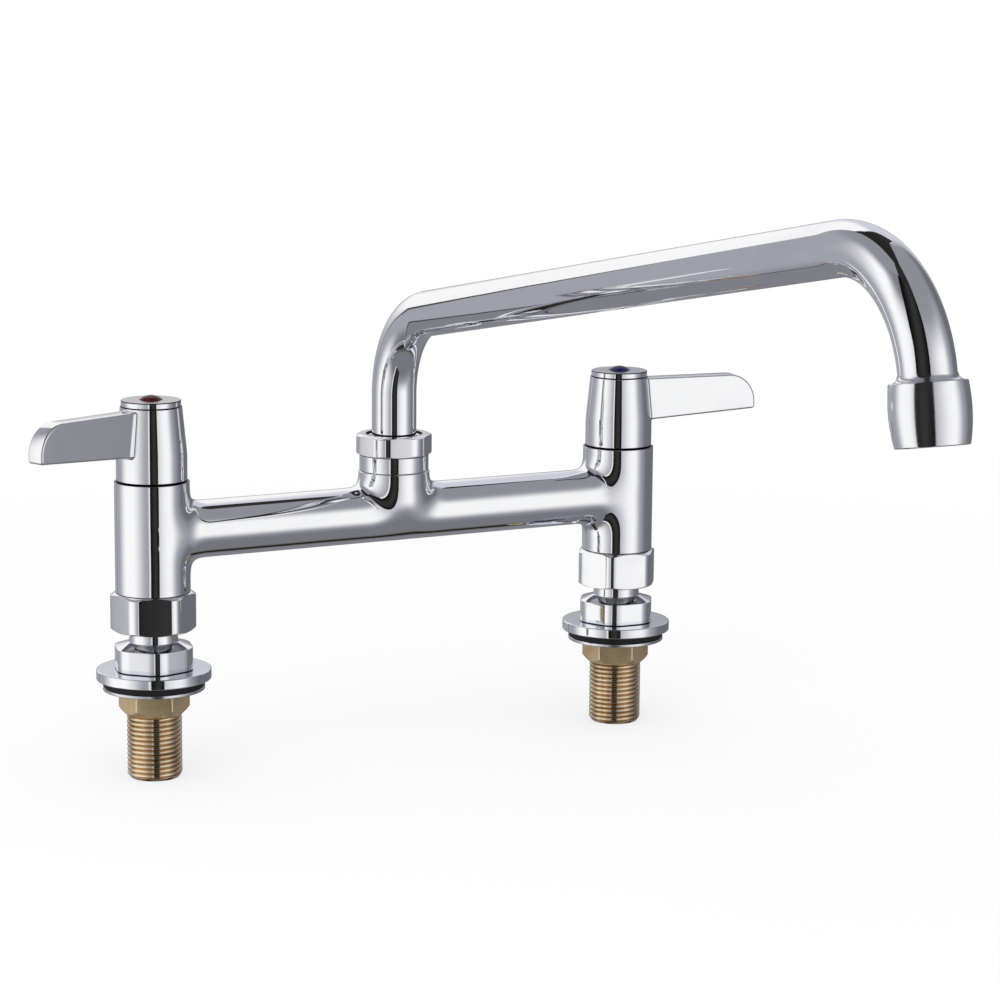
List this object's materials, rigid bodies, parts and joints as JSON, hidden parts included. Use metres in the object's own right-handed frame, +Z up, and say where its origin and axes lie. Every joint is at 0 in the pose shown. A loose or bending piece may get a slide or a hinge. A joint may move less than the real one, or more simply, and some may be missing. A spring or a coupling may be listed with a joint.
{
  "type": "kitchen faucet",
  "caption": "Deck-mounted chrome bridge faucet with a long swing spout on a cross tube, quarter-turn flat lever handles and threaded inlet shanks clamped to the worktop.",
  "frame": {"origin": "midway between the two inlet axes, on the worktop plane under the rubber deck gaskets", "axes": "+X from the hot inlet to the cold inlet, -Y towards the user (the spout's direction at rest), +Z up"},
  "size_m": [0.3175, 0.3885, 0.2343],
  "materials": {
    "cast_chrome": "polished chrome plate",
    "nut_chrome": "polished chrome plate on hexagons",
    "flange_chrome": "polished chrome plate on turned rings",
    "lever_chrome": "polished chrome plate on die castings",
    "spout_chrome": "polished chrome plate on drawn tube",
    "shank_brass": "bare turned brass",
    "nut_brass": "bare milled brass",
    "inner_brass": "bare turned brass inside the valve",
    "steel": "bright zinc-plated steel",
    "rubber": "matt black rubber",
    "ceramic": "lapped white ceramic",
    "white_plastic": "moulded acetal",
    "hot_index": "dark red gloss",
    "cold_index": "dark blue gloss"
  },
  "bodies": {
    "base": {"bridge_body": "cast_chrome", "spout_nut": "nut_chrome", "lower_thrust_washer": "white_plastic", "upper_thrust_washer": "white_plastic", "hot_coupling_nut": "nut_chrome", "hot_tailpiece": "nut_chrome", "hot_union_washer": "rubber", "hot_deck_flange": "flange_chrome", "hot_deck_gasket": "rubber", "hot_deck_washer": "steel", "hot_lock_nut": "nut_brass", "hot_threaded_shank": "shank_brass", "hot_cartridge_housing": "inner_brass", "hot_seat_seal": "rubber", "hot_fixed_disc": "ceramic", "hot_housing_o_ring": "rubber", "cold_coupling_nut": "nut_chrome", "cold_tailpiece": "nut_chrome", "cold_union_washer": "rubber", "cold_deck_flange": "flange_chrome", "cold_deck_gasket": "rubber", "cold_deck_washer": "steel", "cold_lock_nut": "nut_brass", "cold_threaded_shank": "shank_brass", "cold_cartridge_housing": "inner_brass", "cold_seat_seal": "rubber", "cold_fixed_disc": "ceramic", "cold_housing_o_ring": "rubber"},
    "spout": {"spout_tube": "spout_chrome", "swivel_sleeve": "inner_brass", "upper_sleeve_o_ring": "rubber", "lower_sleeve_o_ring": "rubber", "outlet_collar": "spout_chrome", "aerator_gasket": "rubber", "aerator_screen": "steel", "aerator_insert": "white_plastic"},
    "hot_handle": {"hot_lever_handle": "lever_chrome", "hot_stem": "inner_brass", "hot_moving_disc": "ceramic", "hot_stem_o_ring": "rubber", "hot_stem_clip": "steel", "hot_handle_screw": "steel", "hot_index_cap": "lever_chrome", "hot_index_button": "hot_index"},
    "cold_handle": {"cold_lever_handle": "lever_chrome", "cold_stem": "inner_brass", "cold_moving_disc": "ceramic", "cold_stem_o_ring": "rubber", "cold_stem_clip": "steel", "cold_handle_screw": "steel", "cold_index_cap": "lever_chrome", "cold_index_button": "cold_index"}
  },
  "joints": [
    {"name": "hot_handle_turn", "type": "hinge", "parent": "base", "child": "hot_handle", "pos_m": [-0.1016, 0, 0.079], "axis": [0, 0, 1], "range_deg": [-23, 67]},
    {"name": "cold_handle_turn", "type": "hinge", "parent": "base", "child": "cold_handle", "pos_m": [0.1016, 0, 0.079], "axis": [0, 0, -1], "range_deg": [-8, 82]},
    {"name": "spout_swing", "type": "hinge", "parent": "base", "child": "spout", "pos_m": [0, 0, 0.076], "axis": [0, 0, 1], "continuous": true}
  ]
}
